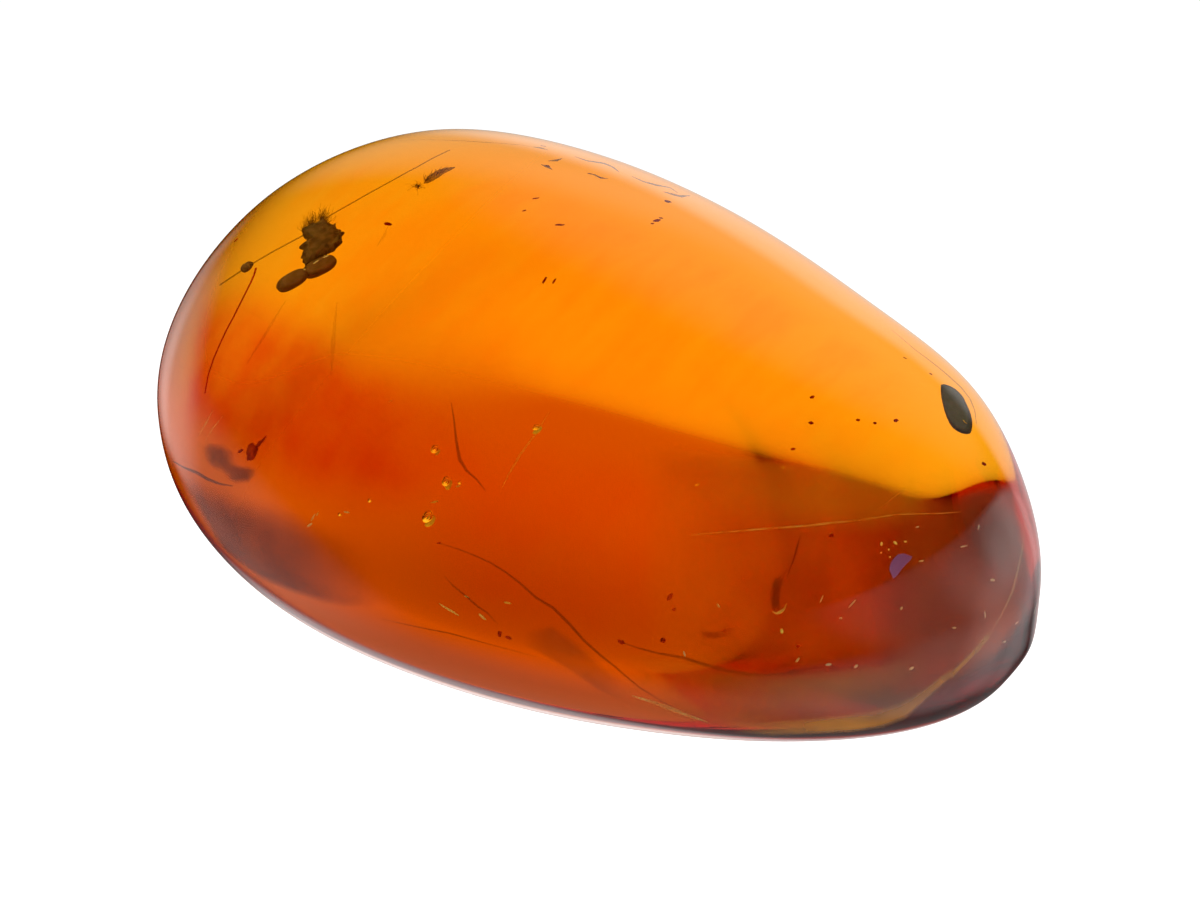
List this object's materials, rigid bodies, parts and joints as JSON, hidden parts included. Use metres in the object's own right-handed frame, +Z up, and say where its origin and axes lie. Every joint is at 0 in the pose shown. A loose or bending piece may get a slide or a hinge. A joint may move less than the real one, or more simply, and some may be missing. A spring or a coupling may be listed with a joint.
{
  "type": "insect in amber",
  "caption": "Clear orange-red drop of amber, polished all over and flat underneath, with a dark insect, a wing case, a fibre, a hair and a splinter sealed inside.",
  "frame": {"origin": "middle of the box's underside, on the flat ground face that the amber lies on", "axes": "+X along the drop towards its narrow end, +Y across it, +Z up from the flat face"},
  "size_m": [0.042, 0.0288, 0.0166],
  "materials": {
    "amber": "clear, polished, orange-red",
    "insect": "charred brown, ragged and dull",
    "wing_case": "slate black, satin, with a dark red edge",
    "fibre": "brown, fine and smooth",
    "hair": "dark red, fine and smooth",
    "splinter": "grey-brown and bristly"
  },
  "bodies": {
    "root": {"amber_lower": "amber", "amber_upper": "amber", "insect": "insect", "wing_case": "wing_case", "fibre": "fibre", "hair": "hair", "splinter": "splinter"}
  },
  "joints": []
}
